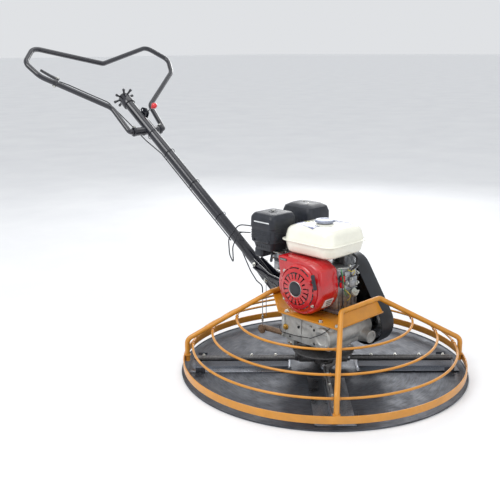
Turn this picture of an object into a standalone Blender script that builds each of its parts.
"""Walk-behind power trowel: cage, float pan, bladed rotor, worm gearbox, engine, belt drive, handle."""
import math

import bmesh
import bpy
from mathutils import Matrix, Vector

# Driving dimensions, in metres. Origin: centre of the pan's underside. +Y forward, +Z up.
PAN_R = 0.592
PAN_T = 0.003
PAN_RIM_H = 0.0065
GAP = 0.0003
RING_R = 0.585
RING_T = 0.005
RING_Z = (0.026, 0.055)
HOOP_ROD_R = 0.005
HOOPS = {"hoop_upper": (0.361, 0.2165), "hoop_middle": (0.462, 0.1590), "hoop_lower": (0.5435, 0.1040)}
CAGE_TUBE_R = 0.0105
CAGE_TOP = (0.122, 0.188, 0.314)
CAGE_FOOT = 0.402
CAGE_FOOT_BEND_Z = 0.122
CAGE_FOOT_Z = 0.028
DECK_X = 0.165
DECK_FRONT_Y = 0.206
DECK_REAR_Y = -0.105
DECK_Z = 0.254
DECK_T = 0.006
BOX_X = 0.125
BOX_Y = (-0.125, 0.135)
BOX_Z = (0.132, 0.2535)
WORM_Y = 0.105
WORM_Z = 0.185
WORM_CORE_R = 0.020
WORM_OUT_R = 0.026
WHEEL_R = 0.083
WHEEL_ROOT_R = 0.075
WHEEL_TEETH = 24
WHEEL_T = 0.030
SHAFT_R = 0.018
ARM_Z = 0.040
ARM_R = 0.0105
ARM_IN = 0.048
ARM_OUT = 0.540
BLADE_W = 0.150
BLADE_T = 0.0025
BLADE_IN = 0.135
BLADE_OUT = 0.555
BLADE_Z = PAN_T + GAP
FINGER_T = 0.035
PLATE_Z = (0.0785, 0.0845)
COLLAR_Z = (0.0850, 0.0950)
YOKE_PIVOT = (-0.080, 0.108)
YOKE_ARM_X = 0.025
YOKE_END = (-0.315, 0.0975)
CRANK_Y = -0.010
CRANK_Z = 0.373
PULLEY_X = -0.170
DRIVE_R = 0.045
DRIVEN_R = 0.075
BELT_W = 0.012
GUARD_X = (-0.215, -0.132)
GUARD_R = 0.094
GUARD_WALL = 0.003
TANK_C = (-0.020, -0.020)
TANK_SIZE = (0.250, 0.268)
TANK_SEAM_Z = 0.545
TANK_BOTTOM_Z = 0.492
TANK_TOP_Z = 0.609
HANDLE_LOW = Vector((0.0, -0.285, 0.3027))
HANDLE_DIR = Vector((0.0, -0.8102, 0.5862)).normalized()
HANDLE_LEN = 1.271
HANDLE_R = 0.024
HANDLE_BORE = 0.0205
SLEEVE = Vector((0.0, -1.152, 0.907))
SLEEVE_HALF = 0.084
SLEEVE_R = 0.020
BAR_R = 0.0125
LOOP_TILT = math.radians(42.5)


def clear_scene():
    for obj in list(bpy.data.objects):
        bpy.data.objects.remove(obj, do_unlink=True)


def material(name, rgb, rough, metal):
    mat = bpy.data.materials.new(name)
    mat.use_nodes = True
    shader = mat.node_tree.nodes["Principled BSDF"]
    shader.inputs["Base Color"].default_value = (rgb[0], rgb[1], rgb[2], 1.0)
    shader.inputs["Roughness"].default_value = rough
    shader.inputs["Metallic"].default_value = metal
    mat.diffuse_color = (rgb[0], rgb[1], rgb[2], 1.0)
    return mat


def frame_matrix(origin, axis, up=(0.0, 0.0, 1.0)):
    """Matrix that takes local +Z to axis, with its origin at origin."""
    z_axis = Vector(axis).normalized()
    ref = Vector(up)
    if abs(z_axis.dot(ref)) > 0.99:
        ref = Vector((0.0, 1.0, 0.0))
    x_axis = ref.cross(z_axis).normalized()
    y_axis = z_axis.cross(x_axis)
    rot = Matrix((x_axis, y_axis, z_axis)).transposed().to_4x4()
    return Matrix.Translation(Vector(origin)) @ rot


def lathe(profile, origin=(0, 0, 0), axis=(0, 0, 1), segs=32):
    """Closed profile of (radius, height) turned about axis; radius 0 closes on the axis."""
    bm = bmesh.new()
    mat = frame_matrix(origin, axis)
    rings = []
    for radius, height in profile:
        if radius < 1e-9:
            rings.append([bm.verts.new(mat @ Vector((0, 0, height)))])
            continue
        ring = []
        for k in range(segs):
            ang = 2 * math.pi * k / segs
            ring.append(bm.verts.new(mat @ Vector((radius * math.cos(ang), radius * math.sin(ang), height))))
        rings.append(ring)
    count = len(rings)
    for i in range(count):
        a_ring = rings[i]
        b_ring = rings[(i + 1) % count]
        if len(a_ring) == 1 and len(b_ring) == 1:
            continue
        for k in range(segs):
            j = (k + 1) % segs
            if len(a_ring) == 1:
                bm.faces.new((a_ring[0], b_ring[j], b_ring[k]))
            elif len(b_ring) == 1:
                bm.faces.new((a_ring[k], a_ring[j], b_ring[0]))
            else:
                bm.faces.new((a_ring[k], a_ring[j], b_ring[j], b_ring[k]))
    bmesh.ops.recalc_face_normals(bm, faces=bm.faces)
    return bm


def cylinder(radius, start, end, segs=24):
    a_pt = Vector(start)
    b_pt = Vector(end)
    length = (b_pt - a_pt).length
    return lathe([(0, 0), (radius, 0), (radius, length), (0, length)], a_pt, b_pt - a_pt, segs)


def ring_solid(r_in, r_out, start, end, segs=32):
    a_pt = Vector(start)
    b_pt = Vector(end)
    length = (b_pt - a_pt).length
    return lathe([(r_in, 0), (r_out, 0), (r_out, length), (r_in, length)], a_pt, b_pt - a_pt, segs)


def box(x_lim, y_lim, z_lim, bevel=0.0, steps=1):
    bm = bmesh.new()
    bmesh.ops.create_cube(bm, size=1.0)
    size = (x_lim[1] - x_lim[0], y_lim[1] - y_lim[0], z_lim[1] - z_lim[0])
    centre = ((x_lim[0] + x_lim[1]) / 2, (y_lim[0] + y_lim[1]) / 2, (z_lim[0] + z_lim[1]) / 2)
    bmesh.ops.scale(bm, vec=size, verts=bm.verts)
    bmesh.ops.translate(bm, vec=centre, verts=bm.verts)
    if bevel > 0:
        bmesh.ops.bevel(bm, geom=list(bm.edges), offset=bevel, segments=steps, affect="EDGES", profile=0.5)
    return bm


def prism(outline, low, high, plane="YZ"):
    """Outline of two-number points in plane, filled and extruded from low to high across it."""
    bm = bmesh.new()
    layers = []
    for level in (low, high):
        layer = []
        for a_val, b_val in outline:
            if plane == "YZ":
                co = (level, a_val, b_val)
            elif plane == "XZ":
                co = (a_val, level, b_val)
            else:
                co = (a_val, b_val, level)
            layer.append(bm.verts.new(co))
        layers.append(layer)
    bm.faces.new(layers[0])
    bm.faces.new(layers[1])
    count = len(outline)
    for k in range(count):
        j = (k + 1) % count
        bm.faces.new((layers[0][k], layers[0][j], layers[1][j], layers[1][k]))
    bmesh.ops.recalc_face_normals(bm, faces=bm.faces)
    return bm


def loft(layers):
    """Closed stack of equal-length point loops."""
    bm = bmesh.new()
    rows = [[bm.verts.new(co) for co in layer] for layer in layers]
    bm.faces.new(rows[0])
    bm.faces.new(rows[-1])
    count = len(rows[0])
    for low, high in zip(rows, rows[1:]):
        for k in range(count):
            j = (k + 1) % count
            bm.faces.new((low[k], low[j], high[j], high[k]))
    bmesh.ops.recalc_face_normals(bm, faces=bm.faces)
    return bm


def round_rect(centre, size, radius, steps=4):
    pts = []
    for sx, sy, base in ((1, 1, 0), (-1, 1, 90), (-1, -1, 180), (1, -1, 270)):
        cx = centre[0] + sx * (size[0] / 2 - radius)
        cy = centre[1] + sy * (size[1] / 2 - radius)
        for k in range(steps + 1):
            ang = math.radians(base + 90 * k / steps)
            pts.append((cx + radius * math.cos(ang), cy + radius * math.sin(ang)))
    return pts


def stadium(a_pt, b_pt, r_a, r_b, steps=10):
    """Outline of the tight band round two circles."""
    dx = b_pt[0] - a_pt[0]
    dy = b_pt[1] - a_pt[1]
    dist = math.hypot(dx, dy)
    base = math.atan2(dy, dx)
    lean = math.acos((r_a - r_b) / dist)
    pts = []
    for k in range(steps + 1):
        ang = base + lean + (2 * math.pi - 2 * lean) * k / steps
        pts.append((a_pt[0] + r_a * math.cos(ang), a_pt[1] + r_a * math.sin(ang)))
    for k in range(steps + 1):
        ang = base - lean + 2 * lean * k / steps
        pts.append((b_pt[0] + r_b * math.cos(ang), b_pt[1] + r_b * math.sin(ang)))
    return pts


def fillet(points, radius, steps=4):
    """Polyline with its corners rounded."""
    pts = [Vector(p) for p in points]
    out = [pts[0]]
    for i in range(1, len(pts) - 1):
        back = (pts[i - 1] - pts[i])
        fore = (pts[i + 1] - pts[i])
        back_len = back.length
        fore_len = fore.length
        back.normalize()
        fore.normalize()
        angle = back.angle(fore)
        if angle > math.radians(176):
            out.append(pts[i])
            continue
        rad = radius[i - 1] if isinstance(radius, (list, tuple)) else radius
        reach = min(rad / math.tan(angle / 2), back_len * 0.48, fore_len * 0.48)
        start = pts[i] + back * reach
        end = pts[i] + fore * reach
        for k in range(steps + 1):
            t = k / steps
            out.append((1 - t) ** 2 * start + 2 * t * (1 - t) * pts[i] + t ** 2 * end)
    out.append(pts[-1])
    return out


def sweep(points, radius, sides=10, closed=False):
    """Round bar along a polyline, with mitred joints."""
    pts = [Vector(p) for p in points]
    count = len(pts)
    tangents = []
    for i in range(count):
        if closed:
            prev_pt, next_pt = pts[i - 1], pts[(i + 1) % count]
        else:
            prev_pt, next_pt = pts[max(i - 1, 0)], pts[min(i + 1, count - 1)]
        tangents.append((next_pt - prev_pt).normalized())
    ref = Vector((0, 0, 1))
    if abs(tangents[0].dot(ref)) > 0.9:
        ref = Vector((1, 0, 0))
    side = (ref - tangents[0] * ref.dot(tangents[0])).normalized()
    bm = bmesh.new()
    rows = []
    for i in range(count):
        side = (side - tangents[i] * side.dot(tangents[i])).normalized()
        other = tangents[i].cross(side)
        row = []
        for k in range(sides):
            ang = 2 * math.pi * k / sides
            row.append(bm.verts.new(pts[i] + (side * math.cos(ang) + other * math.sin(ang)) * radius))
        rows.append(row)
    pairs = list(zip(rows, rows[1:]))
    if closed:
        pairs.append((rows[-1], rows[0]))
    for low, high in pairs:
        for k in range(sides):
            j = (k + 1) % sides
            bm.faces.new((low[k], low[j], high[j], high[k]))
    if not closed:
        bm.faces.new(rows[0])
        bm.faces.new(rows[-1])
    bmesh.ops.recalc_face_normals(bm, faces=bm.faces)
    return bm


def to_object(bm, name):
    mesh = bpy.data.meshes.new(name)
    bm.to_mesh(mesh)
    bm.free()
    obj = bpy.data.objects.new(name, mesh)
    bpy.context.scene.collection.objects.link(obj)
    return obj


def apply_boolean(base, pieces, kind):
    body = to_object(base, "work_body")
    tools = []
    for piece in pieces:
        tool = to_object(piece, "work_tool")
        tool.hide_render = True
        tool.display_type = "WIRE"
        mod = body.modifiers.new(kind, "BOOLEAN")
        mod.operation = kind
        mod.solver = "EXACT"
        mod.object = tool
        tools.append(tool)
    graph = bpy.context.evaluated_depsgraph_get()
    result = bmesh.new()
    result.from_mesh(body.evaluated_get(graph).to_mesh())
    for tool in tools:
        bpy.data.objects.remove(tool, do_unlink=True)
    bpy.data.objects.remove(body, do_unlink=True)
    bmesh.ops.remove_doubles(result, verts=result.verts, dist=0.00001)
    return result


def combine(base, adds=(), cuts=()):
    """Union of base and adds, less the union of cuts; every piece is a closed mesh."""
    result = apply_boolean(base, adds, "UNION") if adds else base
    if cuts:
        cutter = apply_boolean(cuts[0], cuts[1:], "UNION") if len(cuts) > 1 else cuts[0]
        result = apply_boolean(result, [cutter], "DIFFERENCE")
    return result


def node(name, bm, mat, origin=(0, 0, 0), sharp=35.0):
    """Named part from bm, which is drawn in the shared frame; origin is its own centre of motion."""
    bmesh.ops.translate(bm, vec=-Vector(origin), verts=bm.verts)
    bmesh.ops.triangulate(bm, faces=bm.faces)
    bmesh.ops.recalc_face_normals(bm, faces=bm.faces)
    for face in bm.faces:
        face.smooth = True
    for edge in bm.edges:
        if len(edge.link_faces) == 2 and edge.calc_face_angle(0.0) > math.radians(sharp):
            edge.smooth = False
    obj = to_object(bm, name)
    obj.location = origin
    obj.data.materials.append(mat)
    return obj


def polar(radius, ang, z=0.0):
    return Vector((radius * math.cos(ang), radius * math.sin(ang), z))


def about_z(bm, ang):
    bmesh.ops.rotate(bm, cent=(0, 0, 0), matrix=Matrix.Rotation(ang, 3, "Z"), verts=bm.verts)
    return bm


def handle_point(along, x=0.0, below=0.0):
    """Point beside the handle tube: along its axis, across by x, and below its axis."""
    down = Vector((0.0, -HANDLE_DIR.z, HANDLE_DIR.y))
    return HANDLE_LOW + HANDLE_DIR * along + Vector((x, 0, 0)) + down * below


def loop_point(x, along):
    """Point of the handlebar's plane, along from the sleeve's axis."""
    return SLEEVE + Vector((x, -math.cos(LOOP_TILT) * along, math.sin(LOOP_TILT) * along))


def build_rotor(mats):
    steel = mats["pan_steel"]
    pan = lathe([(0, 0), (0.570, 0), (PAN_R - 0.001, PAN_RIM_H - 0.003), (PAN_R, PAN_RIM_H),
                 (PAN_R - 0.003, PAN_RIM_H), (0.568, PAN_T), (0, PAN_T)], segs=56)
    clips = []
    half = BLADE_W / 2 + 0.010
    for q in range(4):
        for side in (-1, 1):
            near = side * (half - 0.003)
            far = side * (half + 0.022)
            mid = side * half
            clip = prism([(near, PAN_T - 0.0012), (far, PAN_T - 0.0012), (far, PAN_T + 0.003),
                          (mid, PAN_T + 0.003),
                          (mid, 0.030), (near, 0.030)], 0.490, 0.530, "YZ")
            clips.append(about_z(clip, math.radians(45 + 90 * q)))
    node("float_pan", combine(pan, clips), steel)
    hub = cylinder(0.040, (0, 0, 0.020), (0, 0, 0.062), 24)
    bosses = [cylinder(0.019, polar(0.020, math.radians(45 + 90 * q), ARM_Z),
                       polar(0.100, math.radians(45 + 90 * q), ARM_Z), 16)
              for q in range(4)]
    bores = [cylinder(ARM_R + GAP, polar(ARM_IN - GAP, math.radians(45 + 90 * q), ARM_Z),
                      polar(0.120, math.radians(45 + 90 * q), ARM_Z), 16) for q in range(4)]
    bores.append(cylinder(SHAFT_R + GAP, (0, 0, 0.030), (0, 0, 0.080), 24))
    node("spider_hub", combine(hub, bosses, bores), mats["cast_grey"])
    shaft = cylinder(SHAFT_R, (0, 0, 0.0303), (0, 0, 0.236), 24)
    outline = []
    for k in range(WHEEL_TEETH):
        for part, radius in ((-0.34, WHEEL_ROOT_R), (-0.17, WHEEL_R), (0.17, WHEEL_R), (0.34, WHEEL_ROOT_R)):
            ang = 2 * math.pi * (k + part) / WHEEL_TEETH
            outline.append((radius * math.cos(ang), radius * math.sin(ang)))
    wheel = prism(outline, WORM_Z - WHEEL_T / 2, WORM_Z + WHEEL_T / 2, "XY")
    node("output_shaft", combine(shaft, [wheel]), mats["bronze"])
    plate = ring_solid(SHAFT_R + 0.001, 0.128, (0, 0, PLATE_Z[0]), (0, 0, PLATE_Z[1]), 36)
    node("pressure_plate", plate, mats["cast_grey"])
    collar = ring_solid(SHAFT_R + 0.001, 0.046, (0, 0, COLLAR_Z[0]), (0, 0, COLLAR_Z[1]), 28)
    node("thrust_collar", collar, mats["cast_grey"])
    for q in range(4):
        ang = math.radians(45 + 90 * q)
        rod = cylinder(ARM_R, (ARM_IN, 0, ARM_Z), (ARM_OUT, 0, ARM_Z), 12)
        lever = prism([(-0.008, ARM_Z - 0.004), (0.014, ARM_Z - 0.008), (FINGER_T + 0.008, ARM_Z + 0.020),
                       (FINGER_T + 0.005, PLATE_Z[0] - GAP), (FINGER_T - 0.003, PLATE_Z[0] - GAP),
                       (FINGER_T - 0.008, ARM_Z + 0.022), (-0.004, ARM_Z + 0.014)], 0.104, 0.120, "YZ")
        node("trowel_arm_%d" % (q + 1), about_z(combine(rod, [lever]), ang), mats["cast_grey"],
             polar(ARM_IN, ang, ARM_Z))
        top = BLADE_Z + BLADE_T
        blade = prism([(-BLADE_W / 2, BLADE_Z + 0.004), (-BLADE_W / 2 + 0.012, BLADE_Z),
                       (BLADE_W / 2, BLADE_Z),
                       (BLADE_W / 2, top), (-BLADE_W / 2 + 0.0125, top), (-BLADE_W / 2, top + 0.004)],
                      BLADE_IN, BLADE_OUT, "YZ")
        rib = box((BLADE_IN + 0.010, ARM_OUT - 0.004), (-0.014, 0.014), (top - 0.0005, ARM_Z - ARM_R - GAP))
        node("blade_%d" % (q + 1), about_z(combine(blade, [rib]), ang), mats["blade_steel"],
             polar(ARM_IN, ang, ARM_Z))


def build_gearbox(mats):
    cast = mats["cast_aluminium"]
    body = box((-BOX_X, BOX_X), BOX_Y, BOX_Z, 0.008, 2)
    tunnel = cylinder(0.044, (-BOX_X - 0.006, WORM_Y, WORM_Z), (BOX_X + 0.004, WORM_Y, WORM_Z), 28)
    neck = lathe([(0, 0), (0.052, 0), (0.046, 0.012), (0, 0.012)], (0, 0, BOX_Z[0] - 0.012), (0, 0, 1), 28)
    socket = lathe([(0, 0), (0.036, 0), (0.025, 0.042), (0.025, 0.052), (0, 0.052)],
                   (-0.088, BOX_Y[1] - 0.006, 0.160),
                   (0.1, 1, -0.08), 20)
    lugs = []
    pin_y, pin_z = YOKE_PIVOT
    for side in (-1, 1):
        lim = sorted((side * 0.094, side * 0.116))
        lugs.append(prism([(pin_y - 0.020, 0.150), (pin_y - 0.017, pin_z - 0.010),
                           (pin_y - 0.008, pin_z - 0.018),
                           (pin_y + 0.008, pin_z - 0.018), (pin_y + 0.017, pin_z - 0.010),
                           (pin_y + 0.020, 0.150)],
                          lim[0], lim[1], "YZ"))
    cuts = [
        cylinder(0.088, (0, 0, WORM_Z - 0.030), (0, 0, WORM_Z + 0.058), 32),
        cylinder(0.030, (-0.140, WORM_Y, WORM_Z), (0.140, WORM_Y, WORM_Z), 24),
        cylinder(SHAFT_R + 0.0008, (0, 0, 0.100), (0, 0, 0.200), 24),
        cylinder(0.017, (-0.088, BOX_Y[1] + 0.070, 0.155), (-0.088, BOX_Y[1] + 0.012, 0.160), 18),
        cylinder(0.0085, (-0.130, pin_y, pin_z), (0.130, pin_y, pin_z), 16),
    ]
    for y_val, z_val in ((-0.024, 0.202), (0.055, 0.150), (0.040, 0.218)):
        cuts.append(cylinder(0.0045, (BOX_X - 0.014, y_val, z_val), (BOX_X + 0.010, y_val, z_val), 12))
    node("gearbox_housing", combine(body, [tunnel, neck, socket] + lugs, cuts), cast)
    cover = lathe([(0, 0), (0.0440, 0), (0.0440, 0.006), (0.038, 0.011), (0.026, 0.011), (0.022, 0.008),
                   (0, 0.008)],
                  (BOX_X + 0.004 + GAP, WORM_Y, WORM_Z), (1, 0, 0), 28)
    heads = []
    for k in range(4):
        ang = math.radians(45 + 90 * k)
        y_val = WORM_Y + 0.0345 * math.cos(ang)
        z_val = WORM_Z + 0.0345 * math.sin(ang)
        heads.append(cylinder(0.0050, (BOX_X + 0.008, y_val, z_val), (BOX_X + 0.0185, y_val, z_val), 6))
    node("gearbox_cover", combine(cover, heads), cast)
    pitch = 2 * math.pi * 0.079 / WHEEL_TEETH
    core = lathe([(0, -0.196), (0.0115, -0.196), (0.0115, -0.140), (0.016, -0.138), (0.016, -0.050),
                  (WORM_CORE_R, -0.048),
                  (WORM_CORE_R, 0.048), (0.016, 0.050), (0.016, 0.126), (0, 0.126)], (0, WORM_Y, WORM_Z),
                 (1, 0, 0), 24)
    thread = bmesh.new()
    steps = 32
    turns = 3.6
    rows = []
    for k in range(steps + 1):
        ang = -turns * math.pi + 2 * math.pi * turns * k / steps
        x_mid = pitch * ang / (2 * math.pi)
        row = []
        for dx, radius in ((-0.0042, WORM_CORE_R - 0.001), (0.0042, WORM_CORE_R - 0.001),
                           (0.0024, WORM_OUT_R), (-0.0024, WORM_OUT_R)):
            row.append(thread.verts.new((x_mid + dx, WORM_Y + radius * math.cos(ang),
                                         WORM_Z + radius * math.sin(ang))))
        rows.append(row)
    for low, high in zip(rows, rows[1:]):
        for k in range(4):
            j = (k + 1) % 4
            thread.faces.new((low[k], low[j], high[j], high[k]))
    thread.faces.new(rows[0])
    thread.faces.new(rows[-1])
    bmesh.ops.recalc_face_normals(thread, faces=thread.faces)
    node("worm_shaft", combine(core, [thread]), mats["bright_steel"], (0, WORM_Y, WORM_Z))
    arm = cylinder(0.0125, (YOKE_ARM_X, pin_y, pin_z), (YOKE_ARM_X, YOKE_END[0] - 0.008, YOKE_END[1]), 16)
    pin = cylinder(0.0081, (-0.121, pin_y, pin_z), (0.121, pin_y, pin_z), 14)
    head = cylinder(0.0125, (0.1165, pin_y, pin_z), (0.125, pin_y, pin_z), 6)
    sleeve = cylinder(0.0135, (-0.052, pin_y, pin_z), (0.052, pin_y, pin_z), 16)
    parts = [pin, head, sleeve]
    for side in (-1, 1):
        lim = sorted((side * 0.029, side * 0.041))
        parts.append(prism([(pin_y, 0.104), (-0.003, 0.1015), (0.003, 0.1055), (0.0, 0.112), (pin_y, 0.114)],
                           lim[0], lim[1], "YZ"))
        parts.append(cylinder(0.0060, (lim[0], 0.0, COLLAR_Z[1] + GAP + 0.0061),
                              (lim[1], 0.0, COLLAR_Z[1] + GAP + 0.0061), 12))
    parts.append(cylinder(0.0040, (YOKE_ARM_X, YOKE_END[0], YOKE_END[1]), (0.050, YOKE_END[0], YOKE_END[1]),
                          10))
    parts.append(cylinder(0.0205, (0.0445, YOKE_END[0], YOKE_END[1]), (0.050, YOKE_END[0], YOKE_END[1]), 20))
    node("yoke_lever", combine(arm, parts), mats["yoke_brown"], (0, pin_y, pin_z))
    eye = ring_solid(0.0075, 0.0120, (0.0395, YOKE_END[0], YOKE_END[1]), (0.0435, YOKE_END[0], YOKE_END[1]),
                     16)
    stem = cylinder(0.0026, (0.0415, YOKE_END[0], YOKE_END[1] + 0.0088),
                    (0.0415, YOKE_END[0], YOKE_END[1] + 0.045), 10)
    wire = cylinder(0.0020, (0.0415, YOKE_END[0], YOKE_END[1] + 0.043), (0.0415, YOKE_END[0], 0.228), 8)
    node("pitch_rod", combine(eye, [stem, wire]), mats["bright_steel"], (0.0415, YOKE_END[0], YOKE_END[1]))


def v_pulley(radius, bore, hub_r, x_mid, y_val, z_val, segs=28):
    half = BELT_W / 2 + 0.005
    groove = BELT_W / 2
    return lathe([(bore, -half), (hub_r, -half), (hub_r, -half + 0.001), (radius + 0.006, -half + 0.001),
                  (radius + 0.006, -groove - 0.001), (radius - 0.006, -groove + 0.0035),
                  (radius - 0.006, groove - 0.0035),
                  (radius + 0.006, groove + 0.001), (radius + 0.006, half), (bore, half)],
                 (x_mid, y_val, z_val), (1, 0, 0), segs)


def build_belt_drive(mats):
    node("driven_pulley", v_pulley(DRIVEN_R, 0.0118, 0.025, PULLEY_X, WORM_Y, WORM_Z), mats["bright_steel"],
         (PULLEY_X, WORM_Y, WORM_Z))
    node("drive_pulley", v_pulley(DRIVE_R, 0.0103, 0.022, PULLEY_X, CRANK_Y, CRANK_Z), mats["bright_steel"],
         (PULLEY_X, CRANK_Y, CRANK_Z))
    low = (WORM_Y, WORM_Z)
    high = (CRANK_Y, CRANK_Z)
    outer = stadium(low, high, DRIVEN_R + 0.005, DRIVE_R + 0.005, 16)
    inner = stadium(low, high, DRIVEN_R - 0.0030, DRIVE_R - 0.0030, 16)
    rows = []
    half_out = BELT_W / 2 - 0.0004
    half_in = BELT_W / 2 - 0.0046
    count = len(outer)
    belt = bmesh.new()
    for k in range(count):
        row = [belt.verts.new((PULLEY_X - half_out, outer[k][0], outer[k][1])),
               belt.verts.new((PULLEY_X + half_out, outer[k][0], outer[k][1])),
               belt.verts.new((PULLEY_X + half_in, inner[k][0], inner[k][1])),
               belt.verts.new((PULLEY_X - half_in, inner[k][0], inner[k][1]))]
        rows.append(row)
    for k in range(count):
        nxt = rows[(k + 1) % count]
        for i in range(4):
            j = (i + 1) % 4
            belt.faces.new((rows[k][i], rows[k][j], nxt[j], nxt[i]))
    bmesh.ops.recalc_face_normals(belt, faces=belt.faces)
    node("v_belt", belt, mats["rubber"])
    shell = prism(stadium(low, high, GUARD_R, GUARD_R - 0.006, 14), GUARD_X[0], GUARD_X[1], "YZ")
    hollow = prism(stadium(low, high, GUARD_R - GUARD_WALL, GUARD_R - 0.006 - GUARD_WALL, 14),
                   GUARD_X[0] + GUARD_WALL, GUARD_X[1] + 0.010, "YZ")
    node("belt_guard", combine(shell, [], [hollow]), mats["guard_black"])


def build_frame(mats):
    paint = mats["cage_orange"]
    deck = prism([(-DECK_X, DECK_REAR_Y), (DECK_X, DECK_REAR_Y), (DECK_X, DECK_FRONT_Y),
                  (-0.128, DECK_FRONT_Y),
                  (-0.128, DECK_REAR_Y + 0.010), (-DECK_X, DECK_REAR_Y + 0.010)], DECK_Z, DECK_Z + DECK_T,
                 "XY")
    top_x, top_y, top_z = CAGE_TOP
    rise = top_z - CAGE_TUBE_R - GAP
    plates = []
    for foot_y, inner_y, head_y in ((DECK_FRONT_Y, DECK_FRONT_Y - 0.006, top_y),
                                    (DECK_REAR_Y, DECK_REAR_Y + 0.009, -top_y)):
        step = 0.003 if head_y > 0 else -0.003
        layers = []
        for left, right, z_val, y_a, y_b in ((-0.1265, DECK_X - 0.001, DECK_Z + 0.001, inner_y, foot_y),
                                             (-0.106, 0.106, rise, head_y - step, head_y + step)):
            layers.append([(left, y_a, z_val), (right, y_a, z_val), (right, y_b, z_val), (left, y_b, z_val)])
        plates.append(loft(layers))
    holes = [cylinder(0.006, (sx * 0.050 - 0.010, sy, DECK_Z - 0.01),
                      (sx * 0.050 - 0.010, sy, DECK_Z + 0.02), 12)
             for sx in (-1, 1) for sy in (-0.070, 0.090)]
    node("engine_deck", combine(deck, plates, holes), paint)
    for name, sign in (("cage_tube_front", 1), ("cage_tube_rear", -1)):
        path = []
        for side in (1, -1):
            half = [(side * CAGE_FOOT, sign * CAGE_FOOT, CAGE_FOOT_Z),
                    (side * CAGE_FOOT, sign * CAGE_FOOT, CAGE_FOOT_BEND_Z),
                    (side * top_x, sign * top_y, top_z)]
            path += half if side == 1 else half[::-1]
        pts = fillet(path, [0.035, 0.030, 0.030, 0.035], 4)
        node(name, sweep(pts, CAGE_TUBE_R, 10), paint)
    ring = lathe([(RING_R - RING_T, RING_Z[0]), (RING_R, RING_Z[0]), (RING_R, RING_Z[1]),
                  (RING_R - RING_T, RING_Z[1])], segs=64)
    node("guard_ring", ring, paint)
    for name, (radius, z_val) in HOOPS.items():
        count = 46
        pts = [polar(radius, 2 * math.pi * k / count, z_val) for k in range(count)]
        node(name, sweep(pts, HOOP_ROD_R, 6, True), paint)


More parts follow.
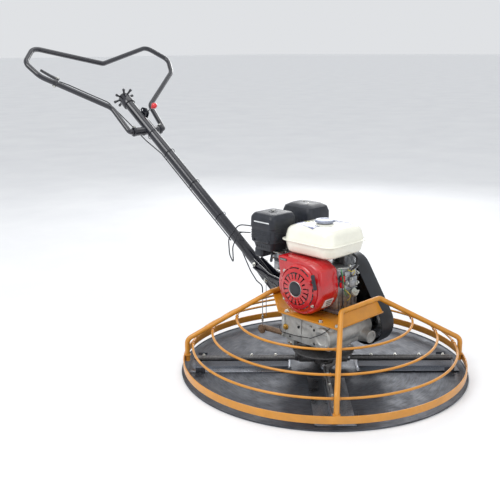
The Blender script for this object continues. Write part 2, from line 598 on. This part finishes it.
def build_engine(mats):
    base_z = DECK_Z + DECK_T + GAP
    alu = mats["engine_grey"]
    case = box((-0.082, 0.040), (-0.096, 0.104), (base_z + 0.012, 0.452), 0.012, 2)
    foot = box((-0.086, 0.0415), (-0.104, 0.112), (base_z, base_z + 0.016), 0.002)
    boss = cylinder(0.052, (-0.094, CRANK_Y, CRANK_Z), (-0.070, CRANK_Y, CRANK_Z), 28)
    filler = cylinder(0.0165, (-0.050, 0.090, 0.325), (-0.050, 0.1125, 0.3375), 16)
    lean = math.radians(25)
    way = Vector((0, -math.cos(lean), math.sin(lean)))
    root = Vector((-0.035, -0.085, 0.410))
    cuts = [cylinder(0.0165, (-0.110, CRANK_Y, CRANK_Z), (0.090, CRANK_Y, CRANK_Z), 18),
            cylinder(0.0105, (-0.050, 0.0955, 0.3281), (-0.050, 0.125, 0.3445), 14),
            cylinder(0.0364, root - way * 0.0004, root + way * 0.070, 18),
            box((-0.072, 0.030), (-0.070, 0.078), (base_z + 0.022, 0.404))]
    node("crankcase", combine(case, [foot, boss, filler], cuts), alu)
    profile = [(0, 0), (0.036, 0)]
    for k in range(4):
        start = 0.036 + 0.0155 * k
        profile += [(0.036, start), (0.046, start), (0.046, start + 0.005), (0.036, start + 0.005)]
    profile += [(0.036, 0.099), (0.045, 0.099), (0.045, 0.126), (0.036, 0.132), (0, 0.132)]
    barrel = lathe(profile, root, way, 18)
    plug = lathe([(0, 0), (0.0095, 0), (0.0095, 0.014), (0.0060, 0.015), (0.0060, 0.028), (0.0075, 0.029),
                  (0.0075, 0.044), (0, 0.046)],
                 root + way * 0.128, way, 12)
    node("cylinder", combine(barrel, [plug]), alu)
    crank = lathe([(0, -0.186), (0.0100, -0.186), (0.0100, -0.125), (0.0125, -0.122), (0.0125, 0.090),
                   (0.009, 0.092), (0.009, 0.118), (0, 0.118)],
                  (0, CRANK_Y, CRANK_Z), (1, 0, 0), 20)
    node("crankshaft", crank, mats["bright_steel"], (0, CRANK_Y, CRANK_Z))
    wheel = ring_solid(0.0128, 0.088, (0.0765, CRANK_Y, CRANK_Z), (0.0885, CRANK_Y, CRANK_Z), 36)
    vanes = []
    for k in range(10):
        ang = 2 * math.pi * k / 10
        vane = box((0.0875, 0.1080), (0.058, 0.086), (-0.002, 0.002))
        bmesh.ops.rotate(vane, cent=(0, 0, 0), matrix=Matrix.Rotation(ang, 3, "X"), verts=vane.verts)
        bmesh.ops.translate(vane, vec=(0, CRANK_Y, CRANK_Z), verts=vane.verts)
        vanes.append(vane)
    node("flywheel", combine(wheel, vanes), mats["bright_steel"], (0, CRANK_Y, CRANK_Z))
    outline = []
    shroud_r = 0.117
    for k in range(15):
        ang = math.radians(-200 + 215 * k / 14)
        outline.append((CRANK_Y + shroud_r * 1.02 * math.cos(ang),
                        CRANK_Z + shroud_r * 0.952 * math.sin(ang)))
    outline += [(CRANK_Y + 0.106, CRANK_Z + 0.080), (CRANK_Y + 0.064, 0.480), (CRANK_Y - 0.100, 0.4895),
                (CRANK_Y - 0.124, 0.482)]
    shell = prism(outline, 0.0425, 0.142, "YZ")
    geom = [e for e in shell.edges if all(abs(v.co.x - 0.142) < 1e-6 for v in e.verts)]
    bmesh.ops.bevel(shell, geom=geom, offset=0.014, segments=3, affect="EDGES", profile=0.5)
    inner = [(CRANK_Y + (y - CRANK_Y) * 0.955, CRANK_Z + (z - CRANK_Z) * 0.955) for y, z in outline]
    hollow = prism(inner, 0.030, 0.136, "YZ")
    hole = cylinder(0.084, (0.120, CRANK_Y, CRANK_Z), (0.160, CRANK_Y, CRANK_Z), 32)
    node("fan_shroud", combine(shell, [], [hollow, hole]), mats["shroud_red"])
    dome = lathe([(0, 0.012), (0.086, 0.012), (0.092, 0.004), (0.092, 0), (0.0965, 0), (0.0965, 0.005),
                  (0.091, 0.012), (0.072, 0.0225),
                  (0.040, 0.026), (0, 0.026)], (0.1425, CRANK_Y, CRANK_Z), (1, 0, 0), 36)
    guide = cylinder(0.012, (0.1535, CRANK_Y + 0.0775, CRANK_Z + 0.0415),
                     (0.166, CRANK_Y + 0.090, CRANK_Z + 0.046), 14)
    slots = []
    for k in range(1, 10):
        ang = math.radians(36 * k + 30)
        slot = box((0.120, 0.200), (0.048, 0.080), (-0.0045, 0.0045))
        bmesh.ops.rotate(slot, cent=(0, 0, 0), matrix=Matrix.Rotation(ang, 3, "X"), verts=slot.verts)
        bmesh.ops.translate(slot, vec=(0, CRANK_Y, CRANK_Z), verts=slot.verts)
        slots.append(slot)
    node("recoil_cover", combine(dome, [guide], slots), mats["shroud_red"])
    pull = Vector((0.55, 0.80, 0.22)).normalized()
    grip_at = Vector((0.168, CRANK_Y + 0.0925, CRANK_Z + 0.047))
    stem = cylinder(0.0060, grip_at, grip_at + pull * 0.014, 12)
    cross = Vector((0.0, -pull.z, pull.y)).normalized()
    bar = cylinder(0.0075, grip_at + pull * 0.018 - cross * 0.030, grip_at + pull * 0.018 + cross * 0.030,
                   12)
    node("starter_grip", combine(stem, [bar]), mats["black_plastic"], grip_at)
    rows = []
    cx, cy = TANK_C
    sx, sy = TANK_SIZE
    levels = [(TANK_BOTTOM_Z, 0.80, 0.030), (TANK_BOTTOM_Z + 0.010, 0.90, 0.036),
              (TANK_SEAM_Z - 0.010, 0.955, 0.040),
              (TANK_SEAM_Z - 0.003, 0.96, 0.040), (TANK_SEAM_Z - 0.002, 1.04, 0.044),
              (TANK_SEAM_Z + 0.002, 1.04, 0.044),
              (TANK_SEAM_Z + 0.003, 0.955, 0.040), (TANK_SEAM_Z + 0.038, 0.91, 0.040),
              (TANK_TOP_Z - 0.012, 0.84, 0.044),
              (TANK_TOP_Z - 0.002, 0.68, 0.040), (TANK_TOP_Z, 0.50, 0.034)]
    for z_val, scale, rad in levels:
        rows.append([(x, y, z_val) for x, y in round_rect((cx, cy), (sx * scale, sy * scale), rad, 4)])
    tank = loft(rows)
    inner = []
    for z_val, scale, rad in ((TANK_BOTTOM_Z + 0.004, 0.78, 0.028), (TANK_SEAM_Z, 0.915, 0.036),
                              (TANK_TOP_Z - 0.016, 0.80, 0.040),
                              (TANK_TOP_Z - 0.006, 0.60, 0.036)):
        inner.append([(x, y, z_val) for x, y in round_rect((cx, cy), (sx * scale, sy * scale), rad, 2)])
    neck = cylinder(0.024, (cx, cy, TANK_TOP_Z - 0.006), (cx, cy, TANK_TOP_Z + 0.004), 24)
    well = cylinder(0.019, (cx, cy, TANK_BOTTOM_Z + 0.040), (cx, cy, TANK_TOP_Z + 0.010), 20)
    node("fuel_tank", combine(tank, [neck], [loft(inner), well]), mats["tank_cream"])
    knurl = []
    for k in range(48):
        ang = 2 * math.pi * k / 48
        radius = 0.0410 if k % 4 < 2 else 0.0385
        knurl.append((cx + radius * math.cos(ang), cy + radius * math.sin(ang)))
    cap = prism(knurl, TANK_TOP_Z + 0.0045, TANK_TOP_Z + 0.013, "XY")
    crown = lathe([(0, 0), (0.037, 0), (0.031, 0.004), (0.018, 0.005), (0, 0.005)],
                  (cx, cy, TANK_TOP_Z + 0.0125), (0, 0, 1), 24)
    plug_in = cylinder(0.0175, (cx, cy, TANK_TOP_Z - 0.010), (cx, cy, TANK_TOP_Z + 0.006), 20)
    node("fuel_cap", combine(cap, [crown, plug_in]), mats["cap_silver"], (cx, cy, TANK_TOP_Z))
    build_intake(mats)


def build_intake(mats):
    plastic = mats["black_plastic"]
    centre = (0.052, -0.241)
    rows = []
    for z_val, shift, size, rad in ((0.480, 0.014, (0.088, 0.100), 0.014),
                                    (0.508, 0.013, (0.098, 0.120), 0.016),
                                    (0.518, 0.0, (0.144, 0.134), 0.020),
                                    (0.5265, 0.0, (0.144, 0.134), 0.020)):
        rows.append([(x + shift, y, z_val) for x, y in round_rect(centre, size, rad, 3)])
    base = loft(rows)
    duct = box((0.024, 0.104), (-0.304, -0.256), (0.444, 0.486), 0.008)
    node("air_cleaner_base", combine(base, [duct]), plastic)
    rows = []
    for z_val, size, rad in ((0.5270, (0.148, 0.138), 0.021), (0.572, (0.146, 0.136), 0.021),
                             (0.576, (0.152, 0.142), 0.022),
                             (0.618, (0.148, 0.138), 0.024), (0.631, (0.134, 0.124), 0.028),
                             (0.637, (0.104, 0.094), 0.024)):
        rows.append([(x, y, z_val) for x, y in round_rect(centre, size, rad, 3)])
    lid = loft(rows)
    inner = []
    for z_val, size, rad in ((0.5200, (0.140, 0.130), 0.018), (0.618, (0.140, 0.130), 0.020),
                             (0.630, (0.122, 0.112), 0.022)):
        inner.append([(x, y, z_val) for x, y in round_rect(centre, size, rad, 2)])
    nut = cylinder(0.010, (centre[0], centre[1], 0.6360), (centre[0], centre[1], 0.6430), 12)
    node("air_cleaner_cover", combine(lid, [nut], [loft(inner)]), plastic)
    rows = []
    middle = (-0.158, -0.244)
    for x_half, y_half, z_val in ((0.052, 0.060, 0.512), (0.056, 0.066, 0.520), (0.056, 0.066, 0.596),
                                  (0.050, 0.060, 0.604)):
        rows.append([(x, y, z_val) for x, y in round_rect(middle, (2 * x_half, 2 * y_half), 0.018, 3)])
    chamber = box((middle[0] - 0.050, middle[0] + 0.050), (middle[1] - 0.060, middle[1] + 0.060),
                  (0.516, 0.598))
    outlet = cylinder(0.010, (middle[0], middle[1] - 0.030, 0.500), (middle[0], middle[1] - 0.030, 0.530),
                      12)
    node("muffler", combine(loft(rows), [], [chamber, outlet]), mats["muffler_steel"])
    outer = []
    for z_val, size, rad in ((0.506, (0.138, 0.168), 0.018), (0.612, (0.138, 0.168), 0.020),
                             (0.634, (0.128, 0.156), 0.024), (0.645, (0.092, 0.116), 0.022)):
        outer.append([(x, y, z_val) for x, y in round_rect(middle, size, rad, 3)])
    inner = []
    for z_val, size, rad in ((0.490, (0.130, 0.160), 0.015), (0.618, (0.130, 0.160), 0.016),
                             (0.630, (0.120, 0.148), 0.018)):
        inner.append([(x, y, z_val) for x, y in round_rect(middle, size, rad, 3)])
    node("muffler_guard", combine(loft(outer), [], [loft(inner)]), plastic)
    body = box((0.030, 0.066), (-0.232, -0.186), (0.436, 0.4775), 0.005)
    bowl = cylinder(0.021, (0.048, -0.209, 0.398), (0.048, -0.209, 0.438), 18)
    throat = cylinder(0.015, (0.048, -0.190, 0.458), (0.048, -0.160, 0.452), 14)
    node("carburettor", combine(body, [bowl, throat]), mats["engine_grey"])
    valve_at = Vector((0.0700, -0.200, 0.440))
    valve_hub, valve_in, valve_out = 0.005, 0.0735, 0.0765
    pivot = cylinder(0.0060, valve_at, valve_at + Vector((valve_hub, 0, 0)), 12)
    blade = prism([(-0.205, 0.445), (-0.205, 0.435), (-0.172, 0.432), (-0.172, 0.440)], valve_in, valve_out,
                  "YZ")
    node("fuel_valve", combine(pivot, [blade]), plastic, valve_at)
    # The choke's blade swings outside the fuel valve, so that the two pass each other.
    choke_at = Vector((0.0665, -0.222, 0.462))
    choke_in = valve_out + 0.0008
    choke_out = choke_in + 0.0030
    pivot = cylinder(0.0050, choke_at, (choke_out, choke_at.y, choke_at.z), 12)
    blade = prism([(-0.227, 0.458), (-0.217, 0.458), (-0.219, 0.430), (-0.228, 0.424), (-0.234, 0.430)],
                  choke_in, choke_out, "YZ")
    node("choke_lever", combine(pivot, [blade]), plastic, choke_at)
    ctrl_at = Vector((0.024, -0.165, 0.4785))
    pivot = cylinder(0.0080, ctrl_at, ctrl_at + Vector((0, 0, 0.006)), 14)
    blade = prism([(0.018, -0.170), (0.030, -0.170), (0.0275, -0.128), (0.0205, -0.128)], 0.4795, 0.4825,
                  "XY")
    node("control_lever", combine(pivot, [blade]), mats["bright_steel"], ctrl_at)
    dip_dir = Vector((0, 0.874, 0.486)).normalized()
    dip_at = Vector((-0.050, 0.1125, 0.3375)) + dip_dir * GAP
    knob = cylinder(0.0165, dip_at, dip_at + dip_dir * 0.009, 18)
    tab = box((-0.055, -0.045), (-0.005, 0.005), (0.006, 0.022))
    bmesh.ops.transform(tab, matrix=Matrix.Translation(Vector((0.050, 0, 0))), verts=tab.verts)
    bmesh.ops.scale(tab, vec=(2.6, 0.5, 1.0), verts=tab.verts)
    bmesh.ops.transform(tab, matrix=frame_matrix(dip_at, dip_dir), verts=tab.verts)
    stick = cylinder(0.0095, dip_at - dip_dir * 0.014, dip_at + dip_dir * 0.002, 14)
    node("oil_dipstick", combine(knob, [tab, stick]), mats["plug_grey"], dip_at)
    switch_at = Vector((0.020, 0.1045, 0.410))
    rocker = combine(cylinder(0.011, switch_at, switch_at + Vector((0, 0.010, 0)), 16),
                     [box((0.0175, 0.0225), (0.113, 0.122), (0.398, 0.422), 0.001)])
    node("engine_switch", rocker, mats["switch_red"], switch_at)


def build_handle(mats):
    black = mats["gloss_black"]
    end = handle_point(HANDLE_LEN)
    tube = cylinder(HANDLE_R, HANDLE_LOW, end, 24)
    collar = cylinder(0.0310, handle_point(HANDLE_LEN - 0.034), handle_point(HANDLE_LEN + 0.006), 24)
    sleeve = cylinder(SLEEVE_R, SLEEVE - Vector((SLEEVE_HALF, 0, 0)), SLEEVE + Vector((SLEEVE_HALF, 0, 0)),
                      20)
    bore = cylinder(HANDLE_BORE, handle_point(-0.01), handle_point(HANDLE_LEN + 0.02), 20)
    cross = cylinder(BAR_R + 0.0004, SLEEVE - Vector((0.10, 0, 0)), SLEEVE + Vector((0.10, 0, 0)), 16)
    node("handle_tube", combine(tube, [collar, sleeve], [bore, cross]), black)
    cheek = []
    outline = [(-0.2025, 0.264), (-0.2025, 0.340), (-0.290, 0.352), (-0.385, 0.402), (-0.402, 0.382),
               (-0.330, 0.318), (-0.262, 0.270)]
    for side in (-1, 1):
        lim = sorted((side * (HANDLE_R + GAP), side * (HANDLE_R + 0.0045)))
        cheek.append(prism(outline, lim[0], lim[1], "YZ"))
    web = box((-0.062, 0.062), (-0.2055, -0.1995), (0.262, 0.342))
    bolts = [cylinder(0.0085, (x0, y0, z0), (x1, y0, z0), 6) for x0, x1, y0, z0 in
             ((0.026, 0.036, -0.372, 0.380), (-0.036, -0.026, -0.372, 0.380), (0.026, 0.036, -0.300, 0.322),
              (-0.036, -0.026, -0.300, 0.322))]
    node("handle_bracket", combine(web, cheek + bolts), black)
    knob_at = handle_point(HANDLE_LEN + 0.0065)
    hub = lathe([(0, 0), (0.027, 0), (0.027, 0.022), (0.020, 0.030), (0, 0.030)], knob_at, HANDLE_DIR, 21)
    screw = cylinder(0.0080, handle_point(HANDLE_LEN - 0.140), handle_point(HANDLE_LEN + 0.010), 12)
    arms = []
    mat = frame_matrix(knob_at, HANDLE_DIR)
    for k in range(7):
        ang = 2 * math.pi * (k + 0.35) / 7
        arms.append(cylinder(0.0050, mat @ Vector((0.018 * math.cos(ang), 0.018 * math.sin(ang), 0.014)),
                             mat @ Vector((0.050 * math.cos(ang), 0.050 * math.sin(ang), 0.019)), 6))
        arms.append(cylinder(0.0072, mat @ Vector((0.046 * math.cos(ang), 0.046 * math.sin(ang), 0.0184)),
                             mat @ Vector((0.056 * math.cos(ang), 0.056 * math.sin(ang), 0.0199)), 6))
    node("pitch_knob", combine(hub, [screw] + arms), black, knob_at)
    nut = ring_solid(0.0085, 0.0200, handle_point(HANDLE_LEN - 0.100), handle_point(HANDLE_LEN - 0.075), 16)
    node("pitch_nut", nut, mats["bright_steel"], handle_point(HANDLE_LEN - 0.100))
    path = [(0.034, 0.0), (0.104, 0.0), (0.117, 0.165), (0.400, 0.395), (0.436, 0.490), (0.345, 0.590),
            (0.0, 0.472)]
    full = [loop_point(x, a) for x, a in path] + [loop_point(-x, a) for x, a in path[:-1][::-1]]
    radii = [0.018, 0.050, 0.090, 0.050, 0.060, 0.035, 0.060, 0.050, 0.090, 0.050, 0.018]
    node("handlebar", sweep(fillet(full, radii, 3), BAR_R, 10), black, SLEEVE)
    build_controls(mats)


def build_controls(mats):
    black = mats["gloss_black"]
    x_face = -(HANDLE_R + GAP)
    centre = handle_point(1.150, 0.0, -0.012)
    cy, cz = centre.y, centre.z
    plate = prism([(cy - 0.034, cz + 0.018), (cy - 0.020, cz + 0.030), (cy + 0.016, cz + 0.026),
                   (cy + 0.034, cz + 0.004),
                   (cy + 0.020, cz - 0.022), (cy - 0.010, cz - 0.020)], x_face - 0.012, x_face - 0.009, "YZ")
    block = box((x_face - 0.010, x_face), (cy - 0.012, cy + 0.014), (cz - 0.014, cz + 0.008))
    holes = [cylinder(0.0050, (x_face - 0.02, cy - 0.020, cz + 0.016),
                      (x_face + 0.01, cy - 0.020, cz + 0.016), 12)]
    node("throttle_bracket", combine(plate, [block], holes), black)
    pivot_at = Vector((x_face - 0.0123, cy + 0.012, cz + 0.008))
    hub = cylinder(0.0100, pivot_at, pivot_at + Vector((-0.008, 0, 0)), 16)
    ball_at = Vector((x_face - 0.022, cy + 0.062, cz + 0.040))
    rod = cylinder(0.0030, pivot_at + Vector((-0.005, 0, 0)), ball_at, 10)
    ball = bmesh.new()
    bmesh.ops.create_uvsphere(ball, u_segments=16, v_segments=10, radius=0.0150)
    bmesh.ops.translate(ball, vec=ball_at, verts=ball.verts)
    node("throttle_lever", combine(hub, [rod, ball]), mats["ball_red"], pivot_at)
    along = (loop_point(0.117, 0.165) - loop_point(0.400, 0.395)).normalized()
    inward = (loop_point(-0.63, 0.776) - loop_point(0, 0)).normalized()
    normal = along.cross(inward).normalized()
    clamp_at = loop_point(0.400, 0.395) + along * 0.075
    ring = ring_solid(BAR_R + GAP, 0.0175, clamp_at - along * 0.009, clamp_at + along * 0.009, 18)
    mat = Matrix((along, inward, normal)).transposed().to_4x4()
    post = box((-0.009, 0.009), (0.0150, 0.0268), (-0.006, 0.006))
    bmesh.ops.transform(post, matrix=Matrix.Translation(clamp_at) @ mat, verts=post.verts)
    bolt = cylinder(0.0040, clamp_at - inward * 0.0160, clamp_at - inward * 0.0260, 8)
    node("grip_bracket", combine(ring, [post, bolt]), black)
    pivot = clamp_at + inward * 0.0350
    hub = cylinder(0.0055, pivot - normal * 0.0065, pivot + normal * 0.0065, 12)
    blade = prism([(0.010, -0.0045), (0.012, 0.0045), (-0.030, 0.0065), (-0.082, 0.0150), (-0.086, 0.0105),
                   (-0.034, -0.0010), (-0.012, -0.0045)],
                  -0.0060, 0.0060, "XY")
    bmesh.ops.transform(blade, matrix=Matrix.Translation(pivot) @ mat, verts=blade.verts)
    node("grip_lever", combine(blade, [hub]), black, pivot)
    build_cables(mats, clamp_at, along, inward, (cy, cz))


def cable(points, radius, sides=6):
    return sweep(fillet(points, 0.045, 2), radius, sides)


def build_cables(mats, clamp_at, along, inward, plate_at):
    rubber = mats["rubber"]
    cy, cz = plate_at
    start = clamp_at + along * 0.014 + inward * 0.0250
    grip = [start, clamp_at + along * 0.060 + inward * 0.030, loop_point(0.190, 0.262),
            loop_point(0.118, 0.205),
            handle_point(1.150, 0.036, 0.048), handle_point(1.020, 0.016, 0.050),
            handle_point(0.900, 0.010, 0.0300),
            handle_point(0.300, 0.010, 0.0300)]
    node("grip_cable", cable(grip, 0.0028), rubber)
    throttle = [Vector((-(HANDLE_R + 0.0062), cy + 0.0220, cz - 0.026)),
                handle_point(1.080, -0.0290, -0.008),
                handle_point(1.000, -0.0290, -0.006), handle_point(0.900, -0.0275, 0.012),
                handle_point(0.330, -0.0275, 0.012),
                Vector((-0.030, -0.440, 0.500)), Vector((0.050, -0.455, 0.515)),
                Vector((0.095, -0.445, 0.455)),
                Vector((0.100, -0.435, 0.385)), Vector((0.098, -0.462, 0.420)),
                Vector((0.096, -0.470, 0.490)),
                Vector((0.085, -0.415, 0.560)), Vector((0.060, -0.345, 0.560)),
                Vector((0.000, -0.335, 0.500)),
                Vector((0.000, -0.250, 0.462))]
    node("throttle_cable", cable(throttle, 0.0028), rubber)
    pitch = [handle_point(1.000, -0.010, 0.0300), handle_point(0.250, -0.010, 0.0300),
             Vector((0.010, -0.420, 0.335)),
             Vector((0.0415, -0.350, 0.310)), Vector((0.0415, YOKE_END[0], 0.296)),
             Vector((0.0415, YOKE_END[0], 0.264))]
    node("pitch_cable", cable(pitch, 0.0028), rubber)


def main():
    clear_scene()
    mats = {
        "pan_steel": material("pan_steel", (0.10, 0.11, 0.13), 0.45, 0.9),
        "blade_steel": material("blade_steel", (0.22, 0.23, 0.25), 0.40, 0.9),
        "cast_grey": material("cast_grey", (0.25, 0.25, 0.26), 0.55, 0.8),
        "bronze": material("bronze", (0.45, 0.30, 0.14), 0.35, 0.9),
        "bright_steel": material("bright_steel", (0.55, 0.56, 0.58), 0.30, 1.0),
        "cast_aluminium": material("cast_aluminium", (0.55, 0.55, 0.54), 0.45, 0.9),
        "engine_grey": material("engine_grey", (0.38, 0.39, 0.41), 0.50, 0.7),
        "yoke_brown": material("yoke_brown", (0.22, 0.13, 0.08), 0.55, 0.3),
        "cage_orange": material("cage_orange", (0.80, 0.40, 0.06), 0.35, 0.0),
        "gloss_black": material("gloss_black", (0.015, 0.016, 0.028), 0.25, 0.0),
        "guard_black": material("guard_black", (0.020, 0.028, 0.036), 0.45, 0.0),
        "black_plastic": material("black_plastic", (0.022, 0.026, 0.036), 0.50, 0.0),
        "rubber": material("rubber", (0.015, 0.015, 0.016), 0.65, 0.0),
        "shroud_red": material("shroud_red", (0.68, 0.015, 0.02), 0.28, 0.0),
        "switch_red": material("switch_red", (0.60, 0.02, 0.02), 0.40, 0.0),
        "ball_red": material("ball_red", (0.75, 0.03, 0.04), 0.20, 0.0),
        "tank_cream": material("tank_cream", (0.86, 0.85, 0.74), 0.25, 0.0),
        "cap_silver": material("cap_silver", (0.52, 0.55, 0.62), 0.40, 0.3),
        "plug_grey": material("plug_grey", (0.50, 0.51, 0.47), 0.50, 0.0),
        "muffler_steel": material("muffler_steel", (0.30, 0.30, 0.30), 0.55, 0.8),
    }
    build_rotor(mats)
    build_gearbox(mats)
    build_belt_drive(mats)
    build_frame(mats)
    build_engine(mats)
    build_handle(mats)


main()
